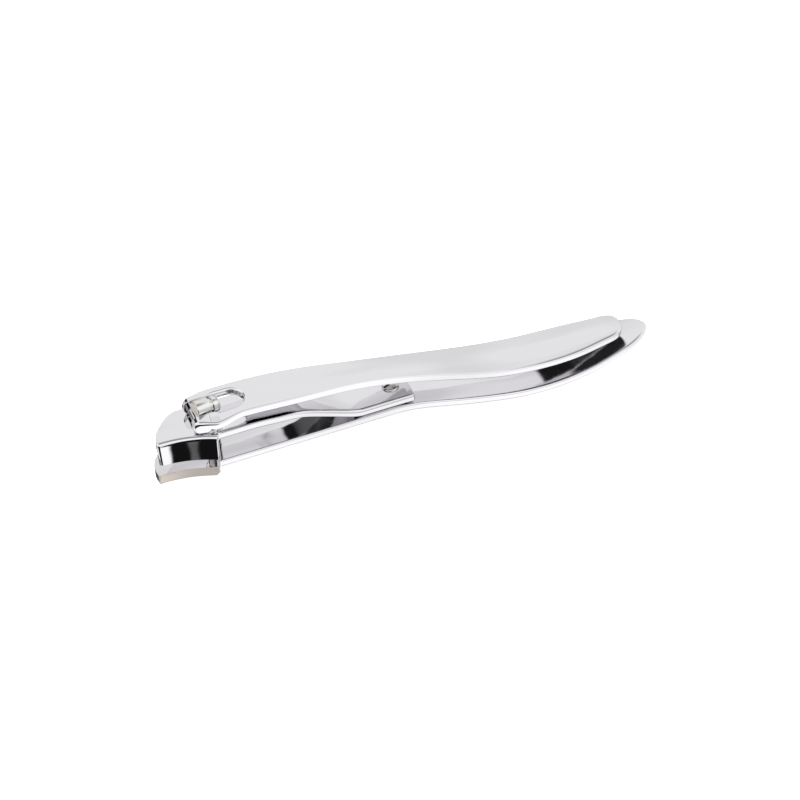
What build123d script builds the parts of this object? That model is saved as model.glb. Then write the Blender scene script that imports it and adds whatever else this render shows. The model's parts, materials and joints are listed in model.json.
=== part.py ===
from build123d import *
import math
import os

# ---------------------------------------------------------------------------
# Chromed lever nail clipper with a slanted side-cutting jaw, lever folded.
#
# Row frame: +Z up, +X from the jaw to the tail, the clipper lying on a flat
# surface at Z = 0 with its footprint centred on the origin.  It stands on the
# belly of the handle and on the tip of the lower jaw, so the flat run of its
# arms is pitched by rest_tilt.  Every sub-part is drawn in the arm frame: x
# along the arms, y across them, z square to them, with z = 0 on the underside
# of the lower arm and x = 0 a little behind the axis of the post.
# ---------------------------------------------------------------------------

# Pose of the arm frame in the row frame
rest_tilt = 3.645
arm_datum = (-31.014, 0.557, 1.365)

# Sheet and arms
sheet = 1.3
arm_half_width = 4.05
seat_half_width = 3.65

# Lower arm, upper face along its length
lower_flat_end = 25.0
handle_curve = [
    (30, 1.2), (34, 0.5), (38, -0.55), (44, -2.0), (50, -3.15), (55.5, -3.5),
    (60, -3.15), (64.5, -2.25), (69, -1.1), (74.4, -0.1),
]
handle_half_width = 4.2
handle_tip_x = 74.2

# Upper arm, upper face along its length
upper_top = 7.25
upper_flat_end = 4.0
upper_curve = [(9, 6.9), (12.5, 6.45), (15, 5.55), (18, 4.3), (20.5, 3.25)]
seat_start = 23.0
seat_gap = 0.03
seat_end = 31.9

# Jaw, in plan: near corner, tip, nose and how far the cutting edge bows inward
jaw_near = (-2.3, -5.4)
head_far_side = (-6.2, arm_half_width)
upper_jaw_tip = (-11.4, -3.3)
upper_nose = [(-11.25, -1.4), (-10.85, -0.2), (-9.95, 1.25), (-8.75, 2.6), (-7.4, 3.65)]
lower_jaw_tip = (-11.9, -3.3)
lower_nose = [(-12.05, -2.0), (-11.9, -0.6), (-11.35, 0.8), (-10.1, 2.3), (-8.2, 3.6)]
jaw_bow = 0.6
jaw_wall = 1.3
lower_jaw_drop = 0.6
lower_jaw_rear = -2.7
upper_edge_near = 2.95
upper_edge_tip = 3.3
edge_land = 0.35
bevel_height = 1.5

# Post with its hooked barrel head; places along the barrel are measured from the post axis
post_x = -1.55
post_radius = 1.2
post_fit = 0.05
post_sway = 1.75
flange_radius = 1.8
flange_height = 0.5
flange_recess = 0.6
barrel_radius = 1.5
collar_radius = 1.35
barrel_z = 9.95
barrel_yaw = 9
barrel_pitch = 5
barrel_front = -2.55
drum_end = -0.15
collar_start = 0.35
barrel_rear = 1.5
groove_depth = 0.3

# Lever
lever_sheet = 1.3
knuckle_x = -3.9
knuckle_z = 8.8
knuckle_radius = 1.45
crossbar_radius = 0.7
crossbar_fit = 0.1
fork_half_width = 1.95
slot_half_width = 2.15
slot_front = -2.4
slot_rear = 4.1
lever_curve = [
    (4, 10.12), (12, 9.5), (20, 8.5), (28, 7.0), (36, 5.05), (46, 2.6),
    (55, 1.5), (62, 1.45), (70.5, 2.1),
]
lever_corner = [(-5.25, 3.0), (-4.4, 3.22), (-3.4, 3.36), (-2.3, 3.56)]
lever_shoulder = (-1.0, 3.7)
lever_neck = [(4, 3.75), (12, 3.65), (18, 3.25), (25, 2.87)]
lever_paddle = [(25, 2.87), (32, 3.05), (38, 3.42), (44, 3.85), (51, 4.1)]
lever_end = [(51, 4.1), (58, 4.0), (62, 3.65), (66, 3.05), (68.3, 2.5), (69.3, 1.5), (69.6, 0)]

# Joint rivet
rivet_x = 28.9
rivet_radius = 1.2
rivet_head_radius = 1.45
rivet_head_height = 0.5
rivet_foot_radius = 1.7
rivet_foot_height = 0.3
rivet_foot_recess = 1.0
rivet_sway = 0.2


# ------------------------------- frames ------------------------------------
tilt = math.radians(rest_tilt)
along = Vector(math.cos(tilt), 0, math.sin(tilt))
normal = Vector(-math.sin(tilt), 0, math.cos(tilt))
across = Vector(0, 1, 0)
arm_frame = Plane(origin=arm_datum, x_dir=along, z_dir=normal)
side_frame = Plane(origin=arm_datum, x_dir=along, z_dir=-across)


def level(height):
    """Plane parallel to the arms at a height above the lower arm's underside."""
    return arm_frame.offset(height)


def barrel_frame(distance):
    """Plane square to the barrel, facing the tail, at a distance from the post axis."""
    yaw = math.radians(barrel_yaw)
    pitch = math.radians(barrel_pitch)
    axis = (along * math.cos(yaw) + across * math.sin(yaw)) * math.cos(pitch) - normal * math.sin(pitch)
    sideways = across * math.cos(yaw) - along * math.sin(yaw)
    centre = arm_frame.from_local_coords(Vector(post_x, 0, barrel_z)) + axis * distance
    return Plane(origin=centre, x_dir=sideways, z_dir=axis)


def lowered(points, drop):
    return [(x, z - drop) for x, z in points]


def mirrored(points, side):
    return [(x, side * y) for x, y in points]


def jaw_bow_point(tip, inset=0.0):
    """Middle of the bowed cutting edge, moved inward by an inset."""
    mid_x = (jaw_near[0] + tip[0]) / 2
    mid_y = (jaw_near[1] + tip[1]) / 2
    return (mid_x, mid_y + jaw_bow + inset)


def head_outline(tip, nose):
    """Plan outline of a jaw head: cutting edge, rounded nose and far side."""
    ThreePointArc(jaw_near, jaw_bow_point(tip), tip)
    Spline(tip, *nose, head_far_side, tangents=[(-0.1, 1), (1, 0.1)])
    Polyline(
        head_far_side, (1.0, arm_half_width), (1.0, -arm_half_width),
        (jaw_near[0] + 0.4, -arm_half_width), jaw_near,
    )


def jaw_band(thickness):
    """Section of the upper jaw's wall: a band of one thickness behind the cutting edge."""
    inner_tip = (upper_jaw_tip[0] + 0.15, upper_jaw_tip[1] + thickness)
    inner_near = (jaw_near[0] + 0.35, jaw_near[1] + thickness)
    ThreePointArc(jaw_near, jaw_bow_point(upper_jaw_tip), upper_jaw_tip)
    Line(upper_jaw_tip, inner_tip)
    ThreePointArc(inner_tip, jaw_bow_point(upper_jaw_tip, thickness), inner_near)
    Line(inner_near, jaw_near)


# ------------------------------ lower arm ----------------------------------
with BuildPart() as lower_arm:
    with BuildSketch(side_frame):
        with BuildLine():
            flat_start = (-14, sheet)
            flat_end = (lower_flat_end, sheet)
            Line(flat_start, flat_end)
            top = Spline(flat_end, *handle_curve, tangents=[(1, 0), (1, 0.12)])
            Line(top @ 1, (top @ 1) - Vector(0, sheet))
            foot_end = (lower_flat_end, 0)
            Spline(foot_end, *lowered(handle_curve, sheet), tangents=[(1, 0), (1, 0.12)])
            Line(foot_end, (-14, 0))
            Line((-14, 0), flat_start)
        make_face()
    extrude(amount=2 * handle_half_width, both=True)
    with BuildSketch(level(-10)):
        with BuildLine():
            Line((-1, arm_half_width), (30, arm_half_width))
            Spline(
                (30, arm_half_width), (46, handle_half_width), (62, handle_half_width),
                (68.4, 3.75), (72, 2.7), (handle_tip_x, 0),
                tangents=[(1, 0), (0, -1)],
            )
            Spline(
                (handle_tip_x, 0), (72, -2.7), (68.4, -3.75), (62, -handle_half_width),
                (46, -handle_half_width), (30, -arm_half_width),
                tangents=[(0, -1), (-1, 0)],
            )
            Line((30, -arm_half_width), (-1, -arm_half_width))
            Line((-1, -arm_half_width), (-1, arm_half_width))
        make_face()
    extrude(amount=30, mode=Mode.INTERSECT)
    with BuildSketch(level(-lower_jaw_drop)):
        with BuildLine():
            head_outline(lower_jaw_tip, lower_nose)
        make_face()
    extrude(amount=sheet + lower_jaw_drop)
    with BuildSketch(level(-lower_jaw_drop)):
        with Locations((lower_jaw_rear, 0)):
            Rectangle(18, 20, align=(Align.MIN, Align.CENTER))
    extrude(amount=lower_jaw_drop, mode=Mode.SUBTRACT)
    with Locations(arm_frame * Location((post_x, 0, -lower_jaw_drop), (180, 0, 0))):
        CounterBoreHole(
            post_radius + post_fit, flange_radius + 0.2, flange_recess + lower_jaw_drop,
            depth=sheet + lower_jaw_drop,
        )
    with Locations(arm_frame * Location((rivet_x, 0, 0), (180, 0, 0))):
        CounterBoreHole(rivet_radius + rivet_sway, rivet_foot_radius + 0.3, rivet_foot_recess, depth=sheet)
lower_arm.part.label = "lower_arm"


# ------------------------------ upper arm ----------------------------------
seat_top = 2 * sheet + seat_gap
with BuildPart() as upper_arm:
    with BuildSketch(side_frame):
        with BuildLine():
            nose_top = (-14, upper_top)
            bend_top = (upper_flat_end, upper_top)
            seat_front = (seat_start, seat_top)
            Line(nose_top, bend_top)
            Spline(bend_top, *upper_curve, seat_front, tangents=[(1, 0), (1, 0)])
            Polyline(seat_front, (seat_end + 1, seat_top), (seat_end + 1, seat_top - sheet))
            Line((seat_end + 1, seat_top - sheet), (seat_start, seat_top - sheet))
            Spline(
                (upper_flat_end, upper_top - sheet), *lowered(upper_curve, sheet),
                (seat_start, seat_top - sheet), tangents=[(1, 0), (1, 0)],
            )
            Polyline((upper_flat_end, upper_top - sheet), (-14, upper_top - sheet), nose_top)
        make_face()
    extrude(amount=2 * arm_half_width, both=True)
    with BuildSketch(level(-1)):
        with BuildLine():
            head_outline(upper_jaw_tip, upper_nose)
        make_face()
        with BuildLine():
            Line((0.5, arm_half_width), (8, arm_half_width))
            Spline((8, arm_half_width), (seat_start, seat_half_width), tangents=[(1, 0), (1, 0)])
            Polyline(
                (seat_start, seat_half_width), (seat_end, seat_half_width),
                (seat_end, -seat_half_width), (seat_start, -seat_half_width),
            )
            Spline((seat_start, -seat_half_width), (8, -arm_half_width), tangents=[(-1, 0), (-1, 0)])
            Polyline((8, -arm_half_width), (0.5, -arm_half_width), (0.5, arm_half_width))
        make_face()
    extrude(amount=12, mode=Mode.INTERSECT)
    with BuildSketch(level(upper_edge_near)):
        with BuildLine():
            jaw_band(edge_land)
        make_face()
    with BuildSketch(level(upper_edge_near + bevel_height)):
        with BuildLine():
            jaw_band(jaw_wall)
        make_face()
    loft()
    with BuildSketch(level(upper_edge_near + bevel_height)):
        with BuildLine():
            jaw_band(jaw_wall)
        make_face()
    extrude(amount=upper_top - 0.2 - upper_edge_near - bevel_height)
    with BuildSketch(side_frame):
        with BuildLine():
            Polyline(
                (jaw_near[0] + 1, upper_edge_near - 0.5), (jaw_near[0] + 1, upper_edge_near),
                (jaw_near[0], upper_edge_near), (upper_jaw_tip[0], upper_edge_tip),
                (upper_jaw_tip[0] - 1, upper_edge_tip), (upper_jaw_tip[0] - 1, upper_edge_near - 0.5),
                close=True,
            )
        make_face()
    extrude(amount=10, both=True, mode=Mode.SUBTRACT)
    with Locations(arm_frame * Location((post_x, 0, upper_top))):
        Hole(post_sway, depth=sheet)
    with Locations(arm_frame * Location((rivet_x, 0, seat_top))):
        Hole(rivet_radius, depth=sheet)
upper_arm.part.label = "upper_arm"


# ------------------------------ joint rivet --------------------------------
with BuildPart() as joint_rivet:
    with BuildSketch(level(0.02)):
        with Locations((rivet_x, 0)):
            Circle(rivet_foot_radius)
    extrude(amount=rivet_foot_height)
    with BuildSketch(level(0.02)):
        with Locations((rivet_x, 0)):
            Circle(rivet_radius)
    extrude(amount=seat_top)
    with BuildSketch(level(seat_top)):
        with Locations((rivet_x, 0)):
            Circle(rivet_head_radius)
    extrude(amount=rivet_head_height)
    fillet(joint_rivet.edges().group_by(Axis(arm_datum, normal))[-1], radius=0.4)
joint_rivet.part.label = "joint_rivet"


# --------------------------------- post ------------------------------------
with BuildPart() as post:
    with BuildSketch(level(0.05)):
        with Locations((post_x, 0)):
            Circle(flange_radius)
    extrude(amount=flange_height)
    with BuildSketch(level(0.05)):
        with Locations((post_x, 0)):
            Circle(post_radius)
    extrude(amount=barrel_z - 0.05)
    with BuildSketch(barrel_frame(barrel_front)):
        Circle(barrel_radius)
    extrude(amount=drum_end - barrel_front)
    with BuildSketch(barrel_frame(barrel_front)):
        Circle(collar_radius - groove_depth)
    extrude(amount=barrel_rear - barrel_front)
    with BuildSketch(barrel_frame(collar_start)):
        Circle(collar_radius)
    extrude(amount=barrel_rear - collar_start)
    with BuildSketch(side_frame):
        with Locations((knuckle_x, knuckle_z)):
            Circle(crossbar_radius + crossbar_fit)
    extrude(amount=3, both=True, mode=Mode.SUBTRACT)
post.part.label = "post"


# -------------------------------- lever ------------------------------------
with BuildPart() as lever:
    with BuildSketch(side_frame):
        with BuildLine():
            knuckle_top = (knuckle_x, knuckle_z + knuckle_radius)
            under = knuckle_z + knuckle_radius - lever_sheet
            top = Spline(knuckle_top, *lever_curve, tangents=[(1, 0), (1, 0.12)])
            Line(top @ 1, (top @ 1) - Vector(0, lever_sheet))
            Spline(
                (knuckle_x, under), *lowered(lever_curve, lever_sheet), tangents=[(1, 0), (1, 0.12)]
            )
            Line((knuckle_x, under), knuckle_top)
        make_face()
        with Locations((knuckle_x, knuckle_z)):
            Circle(knuckle_radius)
    extrude(amount=2 * arm_half_width, both=True)
    with BuildSketch(level(-4)):
        with BuildLine():
            front = knuckle_x - knuckle_radius - 0.5
            for side in (1, -1):
                corner = mirrored([(front, 2.5), *lever_corner, lever_shoulder], side)
                Line((front, 0), corner[0])
                Spline(*corner, tangents=[(0.6, side), (1, 0)])
                Line(corner[-1], (lever_neck[0][0], side * lever_neck[0][1]))
                Spline(*mirrored(lever_neck, side), tangents=[(1, 0), (1, 0)])
                Spline(*mirrored(lever_paddle, side), tangents=[(1, 0), (1, 0)])
                Spline(*mirrored(lever_end, side), tangents=[(1, 0), (0, -side)])
        make_face()
    extrude(amount=20, mode=Mode.INTERSECT)
    with BuildSketch(level(0)):
        with Locations(((slot_front + slot_rear) / 2, 0)):
            SlotOverall(slot_rear - slot_front, 2 * slot_half_width)
        with Locations(((knuckle_x - 3 + slot_front + 1.5) / 2, 0)):
            Rectangle(slot_front + 1.5 - knuckle_x + 3, 2 * fork_half_width)
    extrude(amount=15, mode=Mode.SUBTRACT)
    with BuildSketch(side_frame):
        with Locations((knuckle_x, knuckle_z)):
            Circle(crossbar_radius)
    extrude(amount=fork_half_width + 0.5, both=True)
lever.part.label = "lever"


os.makedirs("parts", exist_ok=True)
for piece in (lower_arm, upper_arm, joint_rivet, post, lever):
    export_step(piece.part, f"parts/{piece.part.label}.step")
    box = piece.part.bounding_box()
    print(piece.part.label, round(piece.part.volume, 1), box.min, box.max)
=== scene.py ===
"""Looks of the lever nail clipper, folded and lying on a pale studio floor.

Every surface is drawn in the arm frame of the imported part, in millimetres: x along the arms,
y across them and z square to them, with z = 0 on the underside of the lower arm.  The arm
frame is read from the post's joint, whose axis is the arms' normal.  Each mesh carries its own
normals.  They follow the surface, except on the lever's underside and its drooped near corner,
where they are set apart from it so that the reflections fall as in the photo.
"""

import json
import math

import bpy
import numpy as np
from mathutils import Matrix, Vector
from mathutils.geometry import delaunay_2d_cdt


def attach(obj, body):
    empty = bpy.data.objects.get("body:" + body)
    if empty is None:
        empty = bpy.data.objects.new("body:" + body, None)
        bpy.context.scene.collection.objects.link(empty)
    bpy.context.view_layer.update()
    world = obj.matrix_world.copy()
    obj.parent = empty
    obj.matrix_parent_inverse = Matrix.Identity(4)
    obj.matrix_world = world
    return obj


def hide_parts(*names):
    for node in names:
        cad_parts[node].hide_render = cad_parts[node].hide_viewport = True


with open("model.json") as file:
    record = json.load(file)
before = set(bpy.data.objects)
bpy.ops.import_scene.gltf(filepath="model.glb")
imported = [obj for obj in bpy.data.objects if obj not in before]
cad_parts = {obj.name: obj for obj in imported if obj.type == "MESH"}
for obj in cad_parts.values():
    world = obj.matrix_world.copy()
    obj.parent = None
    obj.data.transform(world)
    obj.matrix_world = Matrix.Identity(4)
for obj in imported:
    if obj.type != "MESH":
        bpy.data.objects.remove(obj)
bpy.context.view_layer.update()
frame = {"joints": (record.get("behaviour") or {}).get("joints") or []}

# ------------------------------ dimensions, mm ------------------------------
MM = 0.001
SHEET = 1.3
POST_X = -1.55

ARM_HALF_WIDTH = 4.05
SEAT_HALF_WIDTH = 3.65
HANDLE_HALF_WIDTH = 4.2
HANDLE_CURVE = [
    (25, 1.3), (30, 1.2), (34, 0.5), (38, -0.55), (44, -2.0), (50, -3.15), (55.5, -3.5),
    (60, -3.15), (64.5, -2.25), (69, -1.1), (74.4, -0.1),
]
HANDLE_END = [(62, 4.2), (68.4, 3.75), (72, 2.7), (74.2, 0)]

UPPER_TOP = 7.25
UPPER_CURVE = [(4, 7.25), (9, 6.9), (12.5, 6.45), (15, 5.55), (18, 4.3), (20.5, 3.25), (23, 2.63)]
SEAT_TOP = 2.63
SEAT_START = 23.0
SEAT_END = 31.9

JAW_NEAR = (-2.3, -5.4)
HEAD_FAR_SIDE = (-6.2, ARM_HALF_WIDTH)
UPPER_TIP = (-11.4, -3.3)
UPPER_NOSE = [(-11.25, -1.4), (-10.85, -0.2), (-9.95, 1.25), (-8.75, 2.6), (-7.4, 3.65)]
LOWER_TIP = (-11.9, -3.3)
LOWER_NOSE = [(-12.05, -2.0), (-11.9, -0.6), (-11.35, 0.8), (-10.1, 2.3), (-8.2, 3.6)]
JAW_BOW = 0.6
JAW_WALL = 1.3
JAW_LEAN = math.radians(8)
JAW_DROP = 0.6
JAW_REAR = -2.7
EDGE_NEAR = 2.95
EDGE_TIP = 3.3
EDGE_LAND = 0.35
BEVEL_TOP = 4.45

POST_RADIUS = 1.2
POST_BORE = POST_RADIUS + 0.05
POST_SWAY = 1.75
FLANGE_RADIUS = 1.8
FLANGE_FOOT = 0.05
FLANGE_TOP = 0.55
FLANGE_RECESS_DEPTH = 0.6
RECESS_RADIUS = 2.0
BARREL_RADIUS = 1.5
COLLAR_RADIUS = 1.35
BARREL_Z = 9.95
BARREL_YAW = math.radians(9)
BARREL_PITCH = math.radians(5)
BARREL_FRONT = -2.55
DRUM_END = -0.15
COLLAR_START = 0.35
BARREL_REAR = 1.5
GROOVE_DEPTH = 0.3
DRUM_ROUND = 0.16
COLLAR_ROUND = 0.12
RING_DEPTH = 0.14

KNUCKLE_X = -3.9
KNUCKLE_Z = 8.8
KNUCKLE_RADIUS = 1.45
CROSSBAR_RADIUS = 0.7
FORK_HALF_WIDTH = 1.95
SLOT_HALF_WIDTH = 2.15
SLOT_FRONT = -2.4
SLOT_REAR = 4.1
LEG_END = -2.2
LEVER_CURVE = [
    (-3.9, 10.25), (4, 10.12), (12, 9.5), (20, 8.5), (28, 7.0), (36, 5.05), (46, 2.6),
    (55, 1.5), (62, 1.45), (70.5, 2.1),
]
LEVER_FRONT = (-5.85, 2.5)
LEVER_CORNER = [(-5.25, 3.0), (-4.4, 3.22), (-3.4, 3.36), (-2.3, 3.56), (-1.0, 3.7)]
LEVER_NECK = [(4, 3.75), (12, 3.65), (18, 3.25), (25, 2.87)]
LEVER_PADDLE = [(25, 2.87), (32, 3.05), (38, 3.42), (44, 3.85), (51, 4.1)]
LEVER_END = [(51, 4.1), (58, 4.0), (62, 3.65), (66, 3.05), (68.3, 2.5), (69.3, 1.5), (69.6, 0)]
DROOP = 1.2

RIVET_X = 28.9
RIVET_RADIUS = 1.2
RIVET_HEAD_RADIUS = 1.45
RIVET_HEAD_HEIGHT = 0.5
RIVET_FOOT_RADIUS = 1.7
RIVET_FOOT_TOP = 0.32
RIVET_RECESS_DEPTH = 1.0
RIVET_CROWN_RADIUS = 1.15
RIVET_SHOULDER = 0.3

STRIP_FRONT = -14
STEP_HALF_WIDTH = 0.06
POLE = 0.01

# Edge roundings, each as its width on the face and its height on the side.
EDGE = (0.28, 0.28)
CRISP = (0.1, 0.1)
SHARP = (0.06, 0.06)
OUTLINE_STEP = 0.25
GRID_STEP = 0.5

# --------------------------- the arm frame in the row ------------------------
post_joint = next(joint for joint in frame["joints"] if joint["name"] == "post_swivel")
NORMAL = np.array(post_joint["axis"], float)
ALONG = np.array([NORMAL[2], 0.0, -NORMAL[0]])
ACROSS = np.array([0.0, 1.0, 0.0])
ARM_TO_ROW = np.array([ALONG, ACROSS, NORMAL])
DATUM = np.array(post_joint["pos_m"], float) - POST_X * MM * ALONG


def in_row(x, y, z):
    """Point of the row frame, in metres, for a point of the arm frame in millimetres."""
    return Vector(DATUM + np.array([x, y, z]) * MM @ ARM_TO_ROW)


# --------------------------------- curves ------------------------------------
def unit(vectors):
    vectors = np.asarray(vectors, float)
    return vectors / np.linalg.norm(vectors, axis=-1, keepdims=True)


def smooth_curve(points, start, end, step=OUTLINE_STEP):
    """Cubic spline through the points, leaving along start and arriving along end."""
    points = np.array(points, float)
    gaps = np.linalg.norm(np.diff(points, axis=0), axis=1)
    knots = np.concatenate([[0.0], np.cumsum(gaps)])
    count = len(points)
    system = np.eye(count)
    target = np.zeros_like(points)
    target[0] = unit(start)
    target[-1] = unit(end)
    for i in range(1, count - 1):
        before, after = gaps[i - 1], gaps[i]
        system[i, i - 1:i + 2] = (1 / before, 2 / before + 2 / after, 1 / after)
        target[i] = 3 * ((points[i] - points[i - 1]) / before**2 + (points[i + 1] - points[i]) / after**2)
    slopes = np.linalg.solve(system, target)
    places = np.linspace(0, knots[-1], max(2, math.ceil(knots[-1] / step)) + 1)
    span = np.clip(np.searchsorted(knots, places, side="right") - 1, 0, count - 2)
    width = gaps[span][:, None]
    t = ((places - knots[span]) / gaps[span])[:, None]
    return (
        (2 * t**3 - 3 * t**2 + 1) * points[span] + (t**3 - 2 * t**2 + t) * width * slopes[span]
        + (3 * t**2 - 2 * t**3) * points[span + 1] + (t**3 - t**2) * width * slopes[span + 1]
    )


def straight(first, last, step=OUTLINE_STEP):
    length = math.dist(first, last)
    share = np.linspace(0, 1, max(1, math.ceil(length / step)) + 1)[:, None]
    return np.array(first, float) * (1 - share) + np.array(last, float) * share


def round_arc(centre, radius, first, last, step=OUTLINE_STEP):
    """Arc between two angles in degrees."""
    count = max(6, math.ceil(radius * abs(math.radians(last - first)) / step))
    angles = np.radians(np.linspace(first, last, count + 1))
    return np.column_stack([centre[0] + radius * np.cos(angles), centre[1] + radius * np.sin(angles)])


def circle(centre, radius, count, clockwise=False):
    angles = np.linspace(0, 2 * math.pi, count, endpoint=False)
    if clockwise:
        angles = -angles
    return np.column_stack([centre[0] + radius * np.cos(angles), centre[1] + radius * np.sin(angles)])


def joined(*runs):
    """One closed loop from runs that meet end to end."""
    return np.vstack([run[:-1] for run in runs])


def edged(*runs):
    """A closed loop and its edge rounding, from runs of (points, rounding at start, at end)."""
    loop = joined(*(points for points, _, _ in runs))
    rounding = []
    for points, first, last in runs:
        share = np.linspace(0, 1, len(points))[:-1, None]
        rounding.append(np.array(first) * (1 - share) + np.array(last) * share)
    return loop, np.vstack(rounding)


def flipped(points):
    return [(x, -y) for x, y in points]


def outward(loop):
    """Unit normals of a closed loop, pointing away from the material on its left."""
    ahead = np.roll(loop, -1, axis=0) - loop
    behind = loop - np.roll(loop, 1, axis=0)
    along = unit(unit(ahead) + unit(behind))
    return np.column_stack([along[:, 1], -along[:, 0]])


def jaw_circle(tip):
    """Centre and radius of the bowed cutting edge, which passes through near corner and tip."""
    near, far = np.array(JAW_NEAR), np.array(tip)
    chord = far - near
    half = np.linalg.norm(chord) / 2
    radius = (half**2 + JAW_BOW**2) / (2 * JAW_BOW)
    side = unit([chord[1], -chord[0]])
    if side[1] > 0:
        side = -side
    return (near + far) / 2 + side * (radius - JAW_BOW), radius


def jaw_curve(tip, inset=0.0):
    """The cutting edge from tip to near corner, moved inward by an inset."""
    centre, radius = jaw_circle(tip)
    first = math.degrees(math.atan2(tip[1] - centre[1], tip[0] - centre[0]))
    last = math.degrees(math.atan2(JAW_NEAR[1] - centre[1], JAW_NEAR[0] - centre[0]))
    return round_arc(centre, radius + inset, first, last)


def nose_curve(tip, nose):
    """The far front of a jaw head, from the far side to the tip."""
    return smooth_curve([tip, *nose, HEAD_FAR_SIDE], (-0.1, 1), (1, 0.1))[::-1]


class Ribbon:
    """Height of a plate's face along the arms, and the slope that its normals follow."""

    def __init__(self, *runs):
        line = np.vstack(runs)
        keep = np.concatenate([[True], np.diff(line[:, 0]) > 1e-6])
        self.x, self.z = line[keep].T
        self.rate = np.gradient(self.z, self.x)

    def polished(self, places, leans):
        """Leans the face's normals by a slope given at places; the face itself stays as it is."""
        self.rate = self.rate + np.interp(self.x, places, leans)
        return self

    def height(self, x):
        return np.interp(x, self.x, self.z)

    def slope(self, x):
        return np.interp(x, self.x, self.rate)

    def lowered(self, drop):
        return Ribbon(np.column_stack([self.x, self.z - drop]))


# ------------------------------ mesh building --------------------------------
def inside(points, loops):
    """Which points lie inside the loops, by the even-odd rule."""
    odd = np.zeros(len(points), bool)
    for loop in loops:
        after = np.roll(loop, -1, axis=0)
        for (x1, y1), (x2, y2) in zip(loop, after):
            if y1 == y2:
                continue
            crosses = (y1 > points[:, 1]) != (y2 > points[:, 1])
            where = x1 + (points[:, 1] - y1) / (y2 - y1) * (x2 - x1)
            odd ^= crosses & (points[:, 0] < where)
    return odd


def filled(loops, spacing=GRID_STEP, columns=()):
    """Points and triangles over the area between loops, with an even grid of inner points."""
    border = np.vstack(loops)
    links = []
    base = 0
    for loop in loops:
        links += [(base + i, base + (i + 1) % len(loop)) for i in range(len(loop))]
        base += len(loop)
    low, high = border.min(axis=0), border.max(axis=0)
    xs = np.concatenate([np.arange(low[0] + spacing / 2, high[0], spacing), columns])
    ys = np.arange(low[1] + spacing / 2, high[1], spacing)
    grid = np.array([(x, y) for x in xs for y in ys])
    grid = grid[inside(grid, loops)]
    if len(grid):
        clear = np.array([np.min(np.sum((border - point) ** 2, axis=1)) for point in grid])
        grid = grid[clear > (0.5 * spacing) ** 2]
    points = np.vstack([border, grid])
    made = delaunay_2d_cdt([Vector(point) for point in points], links, [], 0, 1e-6)
    spots = np.array([tuple(spot) for spot in made[0]])
    triangles = np.array(made[2])
    centres = spots[triangles].mean(axis=1)
    return spots, triangles[inside(centres, loops)]


class Skin:
    """Patches of one mesh: points and normals in the arm frame, with a finish for each face."""

    def __init__(self):
        self.points = []
        self.normals = []
        self.faces = []
        self.finishes = []
        self.count = 0

    def add(self, points, normals, faces, finish=0):
        points, normals, faces = np.asarray(points, float), unit(normals), np.asarray(faces)
        corners = points[faces]
        if faces.shape[1] == 4:
            facing = np.cross(corners[:, 2] - corners[:, 0], corners[:, 3] - corners[:, 1])
        else:
            facing = np.cross(corners[:, 1] - corners[:, 0], corners[:, 2] - corners[:, 0])
        wrong = np.einsum("ij,ij->i", facing, normals[faces].sum(axis=1)) < 0
        faces[wrong] = faces[wrong][:, ::-1]
        solid = np.linalg.norm(facing, axis=1) > 1e-9
        self.faces += [tuple(int(i) + self.count for i in face) for face in faces[solid]]
        self.finishes += np.broadcast_to(finish, len(faces))[solid].tolist()
        self.points.append(points)
        self.normals.append(normals)
        self.count += len(points)

    def strip(self, rows, normals, closed=True, finish=0):
        """Quads between rows that hold the same number of points, one finish or one per column."""
        rows, normals = np.array(rows), np.array(normals)
        depth, width = rows.shape[:2]
        columns = width if closed else width - 1
        faces = []
        for i in range(depth - 1):
            for j in range(columns):
                k = (j + 1) % width
                faces.append((i * width + j, i * width + k, (i + 1) * width + k, (i + 1) * width + j))
        finishes = np.tile(np.broadcast_to(finish, columns), depth - 1)
        self.add(rows.reshape(-1, 3), normals.reshape(-1, 3), faces, finishes)

    def face(self, loops, ribbon, sign, columns=()):
        """A plate's upper (sign 1) or lower (sign -1) face, inside loops."""
        spots, triangles = filled(loops, columns=columns)
        self.add(plate_points(spots, ribbon), plate_normals(spots, ribbon, sign), triangles)

    def build(self, name, body, nodes, finishes):
        """Makes the mesh in the row frame and lets it ride on its body."""
        points = DATUM + np.vstack(self.points) * MM @ ARM_TO_ROW
        normals = np.vstack(self.normals) @ ARM_TO_ROW
        mesh = bpy.data.meshes.new(name)
        mesh.from_pydata(points.tolist(), [], self.faces)
        for finish in finishes:
            mesh.materials.append(finish)
        mesh.polygons.foreach_set("material_index", self.finishes)
        mesh.polygons.foreach_set("use_smooth", [True] * len(self.faces))
        mesh.normals_split_custom_set_from_vertices(normals.tolist())
        mesh.update()
        piece = bpy.data.objects.new(name, mesh)
        bpy.context.scene.collection.objects.link(piece)
        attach(piece, body)
        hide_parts(*nodes)
        return piece


def plate_points(spots, ribbon):
    return np.column_stack([spots, ribbon.height(spots[:, 0])])


def plate_normals(spots, ribbon, sign):
    slope = ribbon.slope(spots[:, 0])
    return sign * unit(np.column_stack([-slope, np.zeros(len(spots)), np.ones(len(spots))]))


def edge_rows(loop, away, ribbon, sign, rounding, steps=8):
    """Rows of a rounded edge, from the face (sign 1 upper, -1 lower) to the plate's side."""
    wide, high = rounding[:, :1], rounding[:, 1:]
    rows, normals = [], []
    for turn in np.linspace(math.pi / 2, 0, steps + 1):
        spots = loop - away * wide * (1 - math.cos(turn))
        points = plate_points(spots, ribbon)
        points[:, 2] -= sign * (high * (1 - math.sin(turn)))[:, 0]
        level = plate_normals(spots, ribbon, sign)
        flat = np.column_stack([away, np.zeros(len(loop))])
        rows.append(points)
        normals.append(unit(math.cos(turn) * high * flat + math.sin(turn) * wide * level + 1e-6 * level))
    return rows, normals


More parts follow.
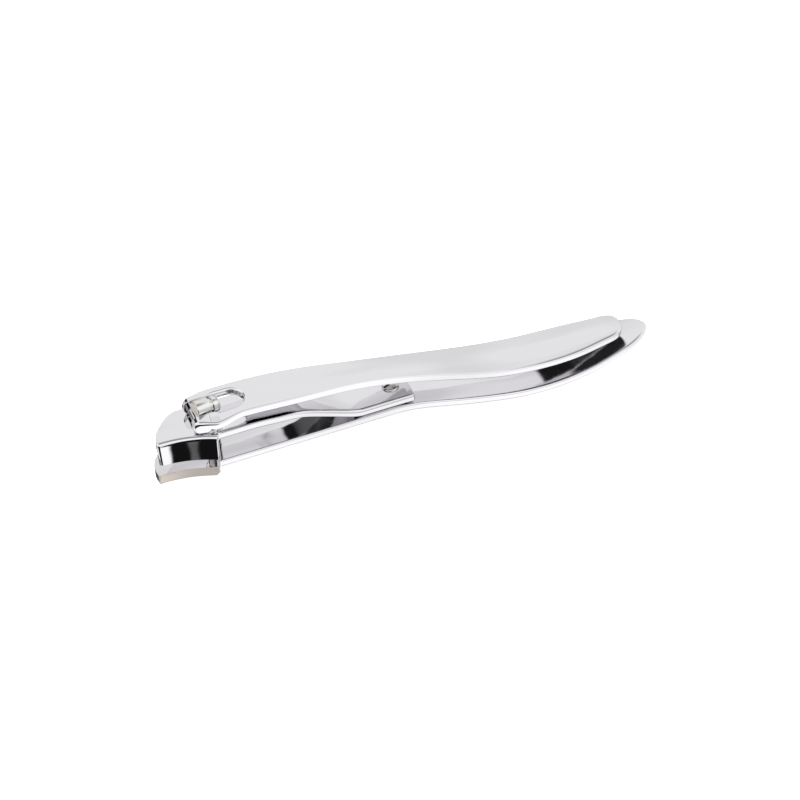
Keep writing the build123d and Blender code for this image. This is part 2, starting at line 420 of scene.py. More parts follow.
def plate_edge(skin, loop, top, bottom, above, below, finish=0, away=None):
    """The side of a plate along a closed loop, with its own rounding above and below."""
    away = outward(loop) if away is None else away
    upper, upper_normals = edge_rows(loop, away, top, 1, np.broadcast_to(above, (len(loop), 2)))
    lower, lower_normals = edge_rows(loop, away, bottom, -1, np.broadcast_to(below, (len(loop), 2)))
    skin.strip(upper + lower[::-1], upper_normals + lower_normals[::-1], finish=finish)
    return upper[0][:, :2], lower[0][:, :2]


def lathe(skin, profile, centre, axis, finish=0, turns=72, sharp=25.0):
    """A turned surface: profile holds (distance along the axis, radius) from one end to the other."""
    axis = np.array(axis, float)
    side = unit(np.cross(axis, (0, 0, 1.0) if abs(axis[2]) < 0.5 else (1.0, 0, 0)))
    other = np.cross(axis, side)
    profile = np.array(profile, float)
    runs = unit(np.diff(profile, axis=0))
    run_normals = np.column_stack([-runs[:, 1], runs[:, 0]])
    angles = np.linspace(0, 2 * math.pi, turns, endpoint=False)
    spokes = np.cos(angles)[:, None] * side + np.sin(angles)[:, None] * other
    for i in range(len(runs)):
        first = last = run_normals[i]
        if i > 0 and run_normals[i - 1] @ run_normals[i] > math.cos(math.radians(sharp)):
            first = run_normals[i - 1] + run_normals[i]
        if i < len(runs) - 1 and run_normals[i + 1] @ run_normals[i] > math.cos(math.radians(sharp)):
            last = run_normals[i] + run_normals[i + 1]
        rows = [np.array(centre) + axis * d + spokes * r for d, r in profile[i:i + 2]]
        normals = [unit(axis * n[0] + spokes * n[1]) for n in (first, last)]
        skin.strip(rows, normals, finish=finish)


def rounded_corner(d, r, radius, d_side, r_side, steps=6):
    """Profile points of a rounded corner at (d, r); the sides say which way the material lies."""
    turns = np.linspace(0, math.pi / 2, steps + 1)
    return [
        (d + d_side * radius * (1 - math.sin(t)), r + r_side * radius * (1 - math.cos(t))) for t in turns
    ]


# -------------------------------- materials ----------------------------------
def node(tree, kind, inputs=None, **settings):
    made = tree.nodes.new(kind)
    for name, value in settings.items():
        setattr(made, name, value)
    for name, value in (inputs or {}).items():
        made.inputs[name].default_value = value
    return made


def metal(name, colour, roughness, variation, scratch_turn=0.0, scratch=0.02, metallic=1.0):
    """Polished metal: cloudy roughness, fine polishing lines and the slight ripple of plated sheet."""
    material = bpy.data.materials.new(name)
    material.use_nodes = True
    tree = material.node_tree
    shader = tree.nodes["Principled BSDF"]
    shader.inputs["Metallic"].default_value = metallic
    place = node(tree, "ShaderNodeTexCoord")
    stretch = node(tree, "ShaderNodeMapping")
    stretch.inputs["Rotation"].default_value = (0, 0, scratch_turn)
    stretch.inputs["Scale"].default_value = (120, 9000, 9000)
    tree.links.new(place.outputs["Object"], stretch.inputs["Vector"])
    lines = node(tree, "ShaderNodeTexNoise", {"Scale": 1.0, "Detail": 3.0, "Roughness": 0.6})
    tree.links.new(stretch.outputs["Vector"], lines.inputs["Vector"])
    clouds = node(tree, "ShaderNodeTexNoise", {"Scale": 160.0, "Detail": 5.0, "Roughness": 0.62})
    tree.links.new(place.outputs["Object"], clouds.inputs["Vector"])
    waves = node(tree, "ShaderNodeTexNoise", {"Scale": 330.0, "Detail": 1.0, "Roughness": 0.4})
    tree.links.new(place.outputs["Object"], waves.inputs["Vector"])
    rough = node(tree, "ShaderNodeMapRange")
    rough.inputs["From Min"].default_value = 0.3
    rough.inputs["From Max"].default_value = 0.75
    rough.inputs["To Min"].default_value = roughness
    rough.inputs["To Max"].default_value = roughness + variation
    tree.links.new(clouds.outputs["Fac"], rough.inputs["Value"])
    tree.links.new(rough.outputs["Result"], shader.inputs["Roughness"])
    lengthwise = node(tree, "ShaderNodeMapping")
    lengthwise.inputs["Scale"].default_value = (22, 190, 190)
    tree.links.new(place.outputs["Object"], lengthwise.inputs["Vector"])
    streaks = node(tree, "ShaderNodeTexNoise", {"Scale": 1.0, "Detail": 1.5, "Roughness": 0.5})
    tree.links.new(lengthwise.outputs["Vector"], streaks.inputs["Vector"])
    tone = node(tree, "ShaderNodeValToRGB")
    tone.color_ramp.elements[0].position = 0.35
    tone.color_ramp.elements[0].color = (*(0.88 * c for c in colour), 1)
    tone.color_ramp.elements[1].position = 0.52
    tone.color_ramp.elements[1].color = (*colour, 1)
    tree.links.new(streaks.outputs["Fac"], tone.inputs["Fac"])
    tree.links.new(tone.outputs["Color"], shader.inputs["Base Color"])
    wavy = node(tree, "ShaderNodeBump", {"Strength": 0.03, "Distance": 0.001})
    tree.links.new(waves.outputs["Fac"], wavy.inputs["Height"])
    fine = node(tree, "ShaderNodeBump", {"Strength": scratch, "Distance": 0.0001})
    tree.links.new(lines.outputs["Fac"], fine.inputs["Height"])
    tree.links.new(wavy.outputs["Normal"], fine.inputs["Normal"])
    tree.links.new(fine.outputs["Normal"], shader.inputs["Normal"])
    return material


arm_chrome = metal("arm_chrome_plate", (0.755, 0.745, 0.765), 0.03, 0.04)
lever_chrome = metal("lever_chrome_plate", (0.765, 0.755, 0.775), 0.04, 0.05)
ground_edge = metal(
    "ground_jaw_steel", (0.66, 0.60, 0.55), 0.3, 0.1, scratch_turn=1.3, scratch=0.3, metallic=0.8
)
rivet_metal = metal("rivet_nickel", (0.74, 0.74, 0.73), 0.06, 0.08)
post_metal = metal("post_nickel", (0.74, 0.735, 0.73), 0.05, 0.06, scratch_turn=1.57)
post_end = metal(
    "post_cut_end", (0.66, 0.60, 0.52), 0.4, 0.12, scratch_turn=0.6, scratch=0.3, metallic=0.5
)


# -------------------------------- lower arm ----------------------------------
def lower_arm():
    skin = Skin()
    flat_run = straight((STRIP_FRONT, SHEET), HANDLE_CURVE[0])
    top = Ribbon(flat_run, smooth_curve(HANDLE_CURVE, (1, 0), (1, 0.12), 0.1))
    base = top.lowered(SHEET)
    step_columns = [JAW_REAR - STEP_HALF_WIDTH, JAW_REAR + STEP_HALF_WIDTH]
    step = np.interp(base.x, step_columns, [JAW_DROP, 0])
    bottom = Ribbon(np.column_stack([base.x, base.z - step]))
    far_end = smooth_curve(HANDLE_END, (1, 0), (0, -1))[::-1]
    near_end = smooth_curve(flipped(HANDLE_END)[::-1], (0, -1), (-1, 0))[::-1]
    shank = (JAW_NEAR[0] + 0.4, -ARM_HALF_WIDTH)
    widening = [(30, ARM_HALF_WIDTH), (46, HANDLE_HALF_WIDTH), (62, HANDLE_HALF_WIDTH)]
    jaw = jaw_curve(LOWER_TIP)
    soft = (0.6, 0.34)
    outline, rounding = edged(
        (straight(shank, (30, -ARM_HALF_WIDTH)), EDGE, EDGE),
        (smooth_curve(flipped(widening), (1, 0), (1, 0)), EDGE, soft),
        (near_end, soft, soft),
        (far_end, soft, soft),
        (smooth_curve(widening, (1, 0), (1, 0))[::-1], soft, EDGE),
        (straight((30, ARM_HALF_WIDTH), HEAD_FAR_SIDE), EDGE, CRISP),
        (nose_curve(LOWER_TIP, LOWER_NOSE), CRISP, SHARP),
        (jaw, SHARP, SHARP),
        (straight(JAW_NEAR, shank), SHARP, EDGE),
    )
    jaw_centre, jaw_radius = jaw_circle(LOWER_TIP)
    from_jaw = np.linalg.norm(outline - jaw_centre, axis=1) - jaw_radius
    near = 0.01
    ground = (np.abs(from_jaw) < near) & (outline[:, 1] < LOWER_TIP[1] + near)
    finish = np.where(ground & np.roll(ground, -1), 1, 0)
    upper_loop, lower_loop = plate_edge(skin, outline, top, bottom, rounding, EDGE, finish)
    hole = circle((POST_X, 0), POST_BORE, 48, clockwise=True)
    recess = circle((POST_X, 0), RECESS_RADIUS, 48, clockwise=True)
    rivet_recess = circle((RIVET_X, 0), RECESS_RADIUS, 48, clockwise=True)
    skin.face([upper_loop, hole], top, 1)
    skin.face([lower_loop, recess, rivet_recess], bottom, -1, columns=step_columns)
    lathe(skin, [(SHEET, POST_BORE), (FLANGE_RECESS_DEPTH, POST_BORE)], (POST_X, 0, 0), (0, 0, 1))
    recesses = ((POST_X, FLANGE_RECESS_DEPTH, POST_BORE), (RIVET_X, RIVET_RECESS_DEPTH, POLE))
    for x, depth, inner in recesses:
        rim = circle((x, 0), RECESS_RADIUS, 72)
        lathe(skin, [(depth, RECESS_RADIUS), (depth, inner)], (x, 0, 0), (0, 0, 1))
        mouth = np.column_stack([rim, bottom.height(rim[:, 0])])
        ceiling = np.column_stack([rim, np.full(len(rim), depth)])
        inward = np.column_stack([(x - rim[:, 0]), -rim[:, 1], np.zeros(len(rim))])
        skin.strip([mouth, ceiling], [inward, inward])
    return skin.build("lower_arm_plate", "lower_arm", ["lower_arm"], [arm_chrome, ground_edge])


# -------------------------------- upper arm ----------------------------------
def upper_arm():
    skin = Skin()
    top = Ribbon(
        straight((STRIP_FRONT, UPPER_TOP), UPPER_CURVE[0]),
        smooth_curve(UPPER_CURVE, (1, 0), (1, 0), 0.1),
        straight((SEAT_START, SEAT_TOP), (SEAT_END + 1, SEAT_TOP)),
    )
    bottom = top.lowered(SHEET)
    narrowing = [(8, ARM_HALF_WIDTH), (SEAT_START, SEAT_HALF_WIDTH)]
    corner = 0.5
    end = SEAT_END - corner
    side = SEAT_HALF_WIDTH - corner
    jaw = jaw_curve(UPPER_TIP, JAW_WALL)
    shank = (jaw[-1][0] + 0.25, -ARM_HALF_WIDTH)
    nose = nose_curve(UPPER_TIP, UPPER_NOSE)
    nose = nose[nose[:, 1] > jaw[0][1] + 0.1]
    flush = (0.0, 0.0)
    worn = (1.05, 0.3)
    seat = (0.65, 0.62)
    outline, rounding = edged(
        (straight(shank, (-1, -ARM_HALF_WIDTH)), EDGE, worn),
        (straight((-1, -ARM_HALF_WIDTH), (8, -ARM_HALF_WIDTH)), worn, worn),
        (smooth_curve(flipped(narrowing), (1, 0), (1, 0)), worn, seat),
        (straight((SEAT_START, -SEAT_HALF_WIDTH), (end, -SEAT_HALF_WIDTH)), seat, (0.5, 0.6)),
        (round_arc((end, -side), corner, -90, 0), (0.5, 0.6), (0.3, 0.3)),
        (straight((SEAT_END, -side), (SEAT_END, side)), (0.3, 0.3), (0.3, 0.3)),
        (round_arc((end, side), corner, 0, 90), (0.3, 0.3), EDGE),
        (straight((end, SEAT_HALF_WIDTH), (SEAT_START, SEAT_HALF_WIDTH)), EDGE, EDGE),
        (smooth_curve(narrowing, (1, 0), (1, 0))[::-1], EDGE, EDGE),
        (straight((8, ARM_HALF_WIDTH), HEAD_FAR_SIDE), EDGE, CRISP),
        (np.vstack([nose, jaw[:1]]), CRISP, CRISP),
        (jaw, flush, flush),
        (straight(jaw[-1], shank), flush, EDGE),
    )
    upper_loop, lower_loop = plate_edge(skin, outline, top, bottom, rounding, np.minimum(rounding, 0.28))
    post_hole = circle((POST_X, 0), POST_SWAY, 60, clockwise=True)
    upper_hole, lower_hole = plate_edge(skin, post_hole, top, bottom, (0.15, 0.15), (0.15, 0.15))
    skin.face([upper_loop, upper_hole], top, 1)
    skin.face([lower_loop, lower_hole], bottom, -1)
    upper_jaw(skin)
    return skin.build("upper_arm_plate", "upper_arm", ["upper_arm"], [arm_chrome, ground_edge])


def upper_jaw(skin):
    """The downturned wall of the jaw, rolled over at the top and ground to an edge inside."""
    centre, radius = jaw_circle(UPPER_TIP)
    first = math.atan2(UPPER_TIP[1] - centre[1], UPPER_TIP[0] - centre[0])
    last = math.atan2(JAW_NEAR[1] - centre[1], JAW_NEAR[0] - centre[0])
    length = radius * abs(last - first)
    lean_rise = math.tan(JAW_LEAN)
    roll_radius = JAW_WALL - (UPPER_TOP - EDGE_NEAR) * lean_rise
    roll_radius /= math.cos(JAW_LEAN) - (1 - math.sin(JAW_LEAN)) * lean_rise
    roll_turns = np.linspace(math.pi / 2, JAW_LEAN, 13)
    roll = [
        (JAW_WALL - roll_radius * math.cos(t), UPPER_TOP - roll_radius * (1 - math.sin(t)))
        for t in roll_turns
    ]
    wall = straight(roll[-1], (0, EDGE_NEAR), 0.4)
    outside = np.vstack([roll[:-1], wall])
    land = straight((0, EDGE_NEAR), (EDGE_LAND, EDGE_NEAR))
    bevel = straight((EDGE_LAND, EDGE_NEAR), (JAW_WALL, BEVEL_TOP), 0.3)
    inner = straight((JAW_WALL, BEVEL_TOP), (JAW_WALL, UPPER_TOP - SHEET), 0.4)
    near_round, tip_round = 0.18, 0.5
    travel = [(d, 0.0, 0.0) for d in np.linspace(tip_round, length - near_round, 40)]
    turns = np.linspace(0, math.pi / 2, 9)[1:]
    near_end = [
        (length - near_round * (1 - math.sin(t)), near_round * (1 - math.cos(t)), math.sin(t))
        for t in turns
    ]
    tip_end = [
        (tip_round * (1 - math.sin(t)), tip_round * (1 - math.cos(t)), -math.sin(t))
        for t in turns[::-1]
    ]

    def placed(profile, normals):
        """Rows of one band of the wall's profile, carried from the tip to the near corner."""
        rows, row_normals = [], []
        for distance, shrink, lean in tip_end + travel + near_end:
            angle = first + (last - first) * distance / length
            inward = np.array([math.cos(angle), math.sin(angle), 0.0])
            along = np.array([-math.sin(angle), math.cos(angle), 0.0]) * np.sign(last - first)
            spots = profile - normals * shrink
            flat = np.array([centre[0], centre[1], 0.0]) + inward * (radius + spots[:, :1])
            from_near = flat[:, 0] - JAW_NEAR[0]
            edge = EDGE_NEAR + (EDGE_TIP - EDGE_NEAR) * from_near / (UPPER_TIP[0] - JAW_NEAR[0])
            share = np.clip((BEVEL_TOP - spots[:, 1]) / (BEVEL_TOP - EDGE_NEAR), 0, 1)
            flat[:, 2] = spots[:, 1] + share * (edge - EDGE_NEAR)
            across = normals[:, :1] * inward + normals[:, 1:] * np.array([0, 0, 1.0])
            rows.append(flat)
            row_normals.append(unit(across * math.sqrt(1 - lean**2) + along * lean))
        return rows, row_normals

    roll_normals = [(-math.cos(t), math.sin(t)) for t in roll_turns[:-1]]
    wall_normal = (-math.cos(JAW_LEAN), math.sin(JAW_LEAN))
    outside_normals = np.array(roll_normals + [wall_normal] * len(wall))
    bevel_normal = unit((BEVEL_TOP - EDGE_NEAR, EDGE_LAND - JAW_WALL))
    bands = [
        (outside, outside_normals, 0),
        (land, np.tile([0.0, -1.0], (len(land), 1)), 1),
        (bevel, np.tile(bevel_normal, (len(bevel), 1)), 1),
        (inner, np.tile([1.0, 0.0], (len(inner), 1)), 0),
    ]
    borders = []
    for profile, normals, finish in bands:
        rows, row_normals = placed(profile, normals)
        skin.strip(rows, row_normals, closed=False, finish=finish)
        borders.append((rows[0], rows[-1]))
    for which, lean in ((0, -1.0), (1, 1.0)):
        ring = np.vstack([border[which] for border in borders])
        angle = last if which else first
        along = np.array([-math.sin(angle), math.cos(angle), 0.0]) * np.sign(last - first) * lean
        hub = ring.mean(axis=0)
        count = len(ring)
        faces = [(i, (i + 1) % count, count) for i in range(count)]
        skin.add(np.vstack([ring, hub]), np.tile(along, (count + 1, 1)), faces, 0)


# ---------------------------------- lever ------------------------------------
lever_top = Ribbon(smooth_curve(LEVER_CURVE, (1, 0), (1, 0.12), 0.1))
corner_curve = smooth_curve([LEVER_FRONT, *LEVER_CORNER], (0.6, 1), (1, 0), 0.05)
lever_corner = np.vstack([corner_curve, LEVER_NECK[:1]])


def lever_half_width(x):
    """Half width of the lever's front, whose corners are rounded in plan."""
    return np.interp(x, lever_corner[:, 0], lever_corner[:, 1])


def lever_spread(x):
    """How fast the front's half width grows along the lever."""
    return (lever_half_width(x + 0.1) - lever_half_width(x - 0.1)) / 0.2


def lever():
    skin = Skin()
    bottom = lever_top.lowered(SHEET).polished([20, 25, 37, 42, 50, 57], [0, 0.14, 0.14, 0, 0, -0.17])
    start = lever_half_width(LEG_END)
    paddle = (1.25, 0.36)
    rim = (0.5, 0.8)
    front = np.vstack([[LEG_END, start], lever_corner[lever_corner[:, 0] > LEG_END + 0.1]])
    front = np.vstack([front[:-2], straight(front[-2], front[-1])])
    sides = [
        (front, EDGE, (0.2, 0.2)),
        (smooth_curve(LEVER_NECK, (1, 0), (1, 0)), (0.2, 0.2), CRISP),
        (smooth_curve(LEVER_PADDLE, (1, 0), (1, 0)), CRISP, paddle),
        (smooth_curve(LEVER_END, (1, 0), (0, -1)), paddle, (0.5, 0.36)),
    ]
    near = [(points * (1, -1), first, last) for points, first, last in sides]
    far = [(points[::-1], last, first) for points, first, last in sides[::-1]]
    slot_centre = SLOT_REAR - SLOT_HALF_WIDTH
    slot_lead = SLOT_FRONT + SLOT_HALF_WIDTH
    meet = math.degrees(math.asin(FORK_HALF_WIDTH / SLOT_HALF_WIDTH))
    meet_x = slot_lead - SLOT_HALF_WIDTH * math.cos(math.radians(meet))
    small = (0.15, 0.15)
    cut = (0.0, 0.0)
    outline, rounding = edged(
        *near,
        *far,
        (straight((LEG_END, start), (LEG_END, FORK_HALF_WIDTH)), cut, cut),
        (straight((LEG_END, FORK_HALF_WIDTH), (meet_x, FORK_HALF_WIDTH)), small, small),
        (round_arc((slot_lead, 0), SLOT_HALF_WIDTH, 180 - meet, 90), small, rim),
        (straight((slot_lead, SLOT_HALF_WIDTH), (slot_centre, SLOT_HALF_WIDTH)), rim, rim),
        (round_arc((slot_centre, 0), SLOT_HALF_WIDTH, 90, -90), rim, rim),
        (straight((slot_centre, -SLOT_HALF_WIDTH), (slot_lead, -SLOT_HALF_WIDTH)), rim, rim),
        (round_arc((slot_lead, 0), SLOT_HALF_WIDTH, -90, meet - 180), rim, small),
        (straight((meet_x, -FORK_HALF_WIDTH), (LEG_END, -FORK_HALF_WIDTH)), small, small),
        (straight((LEG_END, -FORK_HALF_WIDTH), (LEG_END, -start)), cut, cut),
    )
    away = outward(outline)
    height = np.abs(outline[:, 1])
    at_cut = np.abs(outline[:, 0] - LEG_END) < 1e-6
    outer = at_cut & (height > start - 1e-6)
    inner = at_cut & (height < FORK_HALF_WIDTH + 1e-6)
    slope = np.full(outer.sum(), -lever_spread(LEG_END))
    away[outer] = unit(np.column_stack([slope, np.sign(outline[outer, 1])]))
    away[inner] = np.column_stack([np.zeros(inner.sum()), -np.sign(outline[inner, 1])])
    rounding[outer] = EDGE
    rounding[inner] = small
    below = np.minimum(rounding, 0.25)
    upper_loop, lower_loop = plate_edge(skin, outline, lever_top, bottom, rounding, below, away=away)
    skin.face([upper_loop], lever_top, 1)
    skin.face([lower_loop], bottom, -1)
    for side in (-1, 1):
        leg(skin, side)
    reach = FORK_HALF_WIDTH + 0.3
    lathe(
        skin, [(-reach, CROSSBAR_RADIUS), (reach, CROSSBAR_RADIUS)], (KNUCKLE_X, 0, KNUCKLE_Z), (0, 1, 0)
    )
    drooped(skin)
    return skin.build("lever_plate", "lever", ["lever"], [lever_chrome])


def leg(skin, side):
    """One leg of the fork, rolled down into a knuckle."""
    top = KNUCKLE_Z + KNUCKLE_RADIUS
    under = top - SHEET
    meet = math.degrees(math.asin((under - KNUCKLE_Z) / KNUCKLE_RADIUS))
    flat_top = straight((LEG_END, lever_top.height(LEG_END)), (KNUCKLE_X, top))
    knuckle = round_arc((KNUCKLE_X, KNUCKLE_Z), KNUCKLE_RADIUS, 90, 360 + meet, 0.12)
    flat_under = straight(knuckle[-1], (LEG_END, under), 0.12)
    profile = np.vstack([flat_top[:-1], knuckle, flat_under[1:]])
    normals = np.vstack([
        np.tile([0.0, 1.0], (len(flat_top) - 1, 1)),
        unit(knuckle - (KNUCKLE_X, KNUCKLE_Z)),
        np.tile([0.0, -1.0], (len(flat_under) - 1, 1)),
    ])
    width = lever_half_width(profile[:, 0])
    count = len(profile)
    zeros = np.zeros(count)
    out_end = unit(np.column_stack([-lever_spread(profile[:, 0]), np.full(count, side), zeros]))
    in_end = np.tile([0.0, -side, 0.0], (count, 1))
    level = np.column_stack([normals[:, 0], zeros, normals[:, 1]])
    rows, row_normals = [], []
    inner_round = 0.15
    outer_round = np.interp(profile[:, 0], [-5.4, -3.6, -2.4], [0.45, 0.4, EDGE[0]])
    for turn in np.linspace(math.pi / 2, 0, 6):
        shrink = inner_round * (1 - math.cos(turn))
        spots = profile - normals * shrink
        y = np.full(count, FORK_HALF_WIDTH + inner_round * (1 - math.sin(turn)))
        rows.append(np.column_stack([spots[:, 0], side * y, spots[:, 1]]))
        row_normals.append(unit(level * math.cos(turn) + in_end * math.sin(turn)))
    for turn in np.linspace(0, math.pi / 2, 10):
        shrink = outer_round * (1 - math.cos(turn))
        spots = profile - normals * shrink[:, None]
        y = width - outer_round * (1 - math.sin(turn))
        rows.append(np.column_stack([spots[:, 0], side * y, spots[:, 1]]))
        row_normals.append(unit(level * math.cos(turn) + out_end * math.sin(turn)))
    skin.strip(rows, row_normals, closed=False)
    for row, facing_out in ((rows[0], False), (rows[-1], True)):
        spots, triangles = filled([row[:, [0, 2]]], 0.4)
        if facing_out:
            y = side * np.interp(spots[:, 0], *outer_line(row, side))
            facing = np.column_stack([
                -lever_spread(spots[:, 0]), np.full(len(spots), side), np.zeros(len(spots)),
            ])
        else:
            y = np.full(len(spots), side * FORK_HALF_WIDTH)
            facing = np.tile([0.0, -side, 0.0], (len(spots), 1))
        skin.add(np.column_stack([spots[:, 0], y, spots[:, 1]]), facing, triangles)


def outer_line(row, side):
    """Places along the leg and their half widths, in order along the leg."""
    order = np.argsort(row[:, 0])
    return row[order, 0], side * row[order, 1]


def droop(points):
    """How far the lever's near front corner is pressed down at each point."""
    x, y, z = points.T
    front = 1 - eased(x, -1.5, 3.5)
    beside = np.clip((-y - 1.95) / 1.7, 0, None) ** 2
    return DROOP * front * beside * eased(z, 7.35, 8.95)


def eased(value, low, high):
    share = np.clip((value - low) / (high - low), 0, 1)
    return share**2 * (3 - 2 * share)


def drooped(skin):
    """Presses the near front corner down and leaves the normals, so the face keeps its shade."""
    for points in skin.points:
        points[:, 2] -= droop(points)


# ---------------------------------- post -------------------------------------
def post():
    """The turned post; its barrel is whole here, without the notch for the lever's crossbar."""
    skin = Skin()
    foot = [(FLANGE_FOOT, 0.0), (FLANGE_FOOT, 0.8)]
    foot += rounded_corner(FLANGE_FOOT, FLANGE_RADIUS, COLLAR_ROUND, 1, -1)[::-1]
    foot += [(FLANGE_TOP, FLANGE_RADIUS), (FLANGE_TOP, POST_RADIUS), (BARREL_Z - 0.6, POST_RADIUS)]
    lathe(skin, foot, (POST_X, 0, 0), (0, 0, 1))
    core = COLLAR_RADIUS - GROOVE_DEPTH
    body = rounded_corner(BARREL_FRONT, BARREL_RADIUS, DRUM_ROUND, 1, -1)[::-1]
    body += rounded_corner(DRUM_END, BARREL_RADIUS, COLLAR_ROUND, -1, -1)
    body += [(DRUM_END, core), (COLLAR_START, core)]
    body += rounded_corner(COLLAR_START, COLLAR_RADIUS, COLLAR_ROUND, 1, -1)[::-1]
    ring_radius = COLLAR_RADIUS - RING_DEPTH
    body += [(BARREL_REAR - 0.38, COLLAR_RADIUS), (BARREL_REAR - 0.36, ring_radius)]
    body += [(BARREL_REAR - 0.28, ring_radius), (BARREL_REAR - 0.26, COLLAR_RADIUS)]
    body += rounded_corner(BARREL_REAR, COLLAR_RADIUS, 0.2, -1, -1)
    body += [(BARREL_REAR, 0.0)]
    centre = (POST_X, 0, BARREL_Z)
    axis = (
        math.cos(BARREL_YAW) * math.cos(BARREL_PITCH),
        math.sin(BARREL_YAW) * math.cos(BARREL_PITCH),
        -math.sin(BARREL_PITCH),
    )
    lathe(skin, body, centre, axis)
    end_face = [(BARREL_FRONT, 0.0), (BARREL_FRONT, BARREL_RADIUS - DRUM_ROUND)]
    lathe(skin, end_face, centre, axis, finish=1)
    return skin.build("post_turned", "post", ["post"], [post_metal, post_end])


# ------------------------------- joint rivet ---------------------------------
def joint_rivet():
    skin = Skin()
    dome = [
        (SEAT_TOP + RIVET_HEAD_HEIGHT - 0.22 * (r / RIVET_HEAD_RADIUS) ** 2, r)
        for r in np.linspace(RIVET_CROWN_RADIUS, 0, 9)
    ]
    crown = dome[0][0]
    side = [
        (crown - RIVET_SHOULDER * (1 - math.cos(t)), RIVET_CROWN_RADIUS + RIVET_SHOULDER * math.sin(t))
        for t in np.linspace(math.pi / 2, 0.2, 7)
    ]
    profile = [(0.02, 0.0), (0.02, RIVET_FOOT_RADIUS - 0.1), (0.12, RIVET_FOOT_RADIUS)]
    profile += [(RIVET_FOOT_TOP, RIVET_FOOT_RADIUS), (RIVET_FOOT_TOP, RIVET_RADIUS)]
    profile += [(SEAT_TOP, RIVET_RADIUS), (SEAT_TOP, RIVET_HEAD_RADIUS)]
    profile += side + dome
    lathe(skin, profile, (RIVET_X, 0, 0), (0, 0, 1))
    return skin.build("joint_rivet_head", "upper_arm", ["joint_rivet"], [rivet_metal])


lower_arm()
upper_arm()
lever()
post()
joint_rivet()


# ------------------------------ floor and light ------------------------------
def floor():
    mesh = bpy.data.meshes.new("studio_floor")
    reach = 3.0
    corners = [(-reach, -reach, 0), (reach, -reach, 0), (reach, reach, 0), (-reach, reach, 0)]
    mesh.from_pydata(corners, [], [(0, 1, 2, 3)])
    sheet = bpy.data.objects.new("studio_floor", mesh)
    bpy.context.scene.collection.objects.link(sheet)
    paper = bpy.data.materials.new("floor_paper")
    paper.use_nodes = True
    shader = paper.node_tree.nodes["Principled BSDF"]
    shader.inputs["Base Color"].default_value = (0.92, 0.92, 0.92, 1)
    shader.inputs["Roughness"].default_value = 0.9
    shader.inputs["Specular IOR Level"].default_value = 0.0
    shader.inputs["Emission Color"].default_value = (1, 1, 1, 1)
    shader.inputs["Emission Strength"].default_value = 0.7
    mesh.materials.append(paper)
    sheet.visible_glossy = False


def heading(azimuth, elevation):
    """Unit vector, with azimuth in degrees from the near side (-Y) towards the jaw (-X)."""
    around, up = math.radians(azimuth), math.radians(elevation)
    return Vector((-math.sin(around) * math.cos(up), -math.cos(around) * math.cos(up), math.sin(up)))


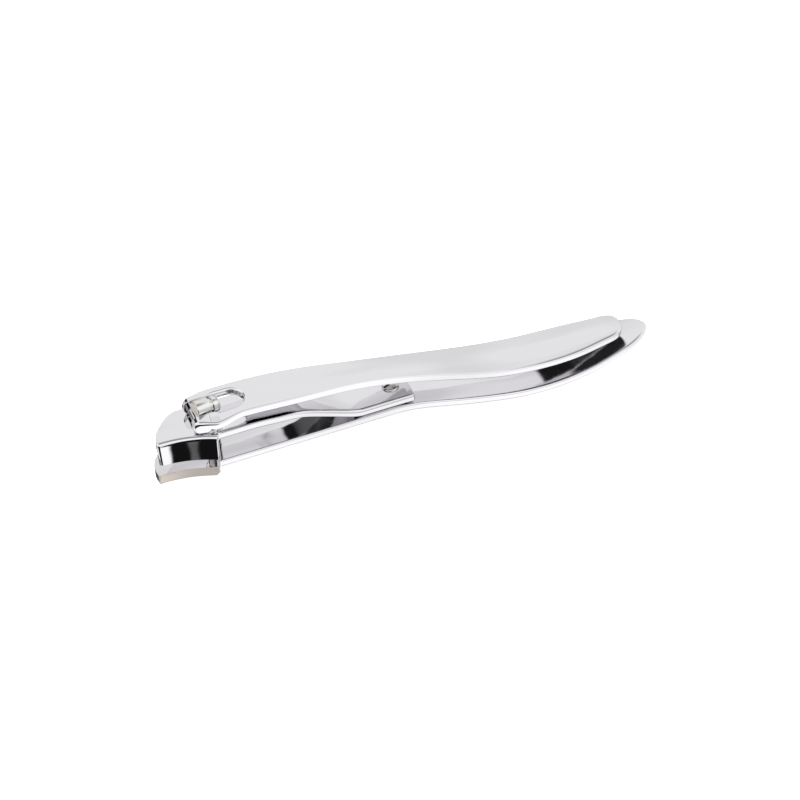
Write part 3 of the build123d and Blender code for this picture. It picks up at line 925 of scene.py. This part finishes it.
def studio():
    """A tent that brightens above and below, with soft darker and brighter zones in it.

    Each zone is its direction, the angles in degrees where it is full and where it ends, and
    its brightness.  A later zone covers an earlier one.  The zones were placed by comparing
    the reflections with the photographed ones, and hold for the photo's view.
    """
    world = bpy.data.worlds.new("studio_tent")
    bpy.context.scene.world = world
    world.use_nodes = True
    tree = world.node_tree
    sky = tree.nodes["Background"]
    sky.inputs["Color"].default_value = (1, 1, 1, 1)
    place = node(tree, "ShaderNodeTexCoord")
    height = node(tree, "ShaderNodeVectorMath", operation="DOT_PRODUCT")
    height.inputs[1].default_value = (0, 0, 1)
    tree.links.new(place.outputs["Generated"], height.inputs[0])
    steepness = node(tree, "ShaderNodeMath", operation="ABSOLUTE")
    tree.links.new(height.outputs["Value"], steepness.inputs[0])
    tent = node(tree, "ShaderNodeMapRange", interpolation_type="SMOOTHSTEP")
    tent.inputs["From Min"].default_value = 0.15
    tent.inputs["From Max"].default_value = 0.62
    tent.inputs["To Min"].default_value = 0.72
    tent.inputs["To Max"].default_value = 1.2
    tree.links.new(steepness.outputs[0], tent.inputs["Value"])
    level = tent.outputs["Result"]
    zones = [
        (heading(195, 44), 20, 50, 1.0),
        (heading(0, 90), 14, 30, 0.4),
        (heading(-15, -34), 16, 30, 1.3),
        (heading(30, -8), 36, 39, 0.008),
        (heading(17, -25), 3.8, 5.6, 0.14),
        (heading(150, -42), 25, 28, 0.015),
        (heading(140, -42), 12, 24, 0.15),
        (heading(144, 30), 9, 16, 0.03),
        (heading(0, -90), 20, 35, 0.05),
    ]
    for direction, inner, outer, value in zones:
        turn = node(tree, "ShaderNodeVectorMath", operation="DOT_PRODUCT")
        turn.inputs[1].default_value = direction
        tree.links.new(place.outputs["Generated"], turn.inputs[0])
        share = node(tree, "ShaderNodeMapRange", interpolation_type="SMOOTHSTEP")
        share.inputs["From Min"].default_value = math.cos(math.radians(outer))
        share.inputs["From Max"].default_value = math.cos(math.radians(inner))
        tree.links.new(turn.outputs["Value"], share.inputs["Value"])
        mix = node(tree, "ShaderNodeMix", data_type="FLOAT")
        tree.links.new(share.outputs["Result"], mix.inputs[0])
        tree.links.new(level, mix.inputs[2])
        mix.inputs[3].default_value = value
        level = mix.outputs[0]
    tree.links.new(level, sky.inputs["Strength"])


def soft_light(name, place, aim, size, power):
    data = bpy.data.lights.new(name, "AREA")
    data.energy = power
    data.size = size
    lamp = bpy.data.objects.new(name, data)
    lamp.location = place
    lamp.rotation_euler = (Vector(aim) - Vector(place)).to_track_quat("-Z", "Y").to_euler()
    lamp.visible_glossy = False
    bpy.context.scene.collection.objects.link(lamp)


floor()
studio()
soft_light("overhead_softbox", (0.1, 0.2, 0.9), (0, 0, 0), 0.9, 9.0)


# ---------------------------------- camera -----------------------------------
def camera():
    data = bpy.data.cameras.new("camera")
    data.lens = 139.5
    data.sensor_width = 36.0
    data.clip_start = 0.01
    eye = bpy.data.objects.new("camera", data)
    target = in_row(28.66, -5.28, 4.03)
    eye.location = in_row(-83.55, -357.08, 341.15)
    eye.rotation_euler = (target - eye.location).to_track_quat("-Z", "Y").to_euler()
    bpy.context.scene.collection.objects.link(eye)
    bpy.context.scene.camera = eye


camera()
bpy.context.scene.view_settings.view_transform = "Standard"
bpy.context.scene.view_settings.look = "None"
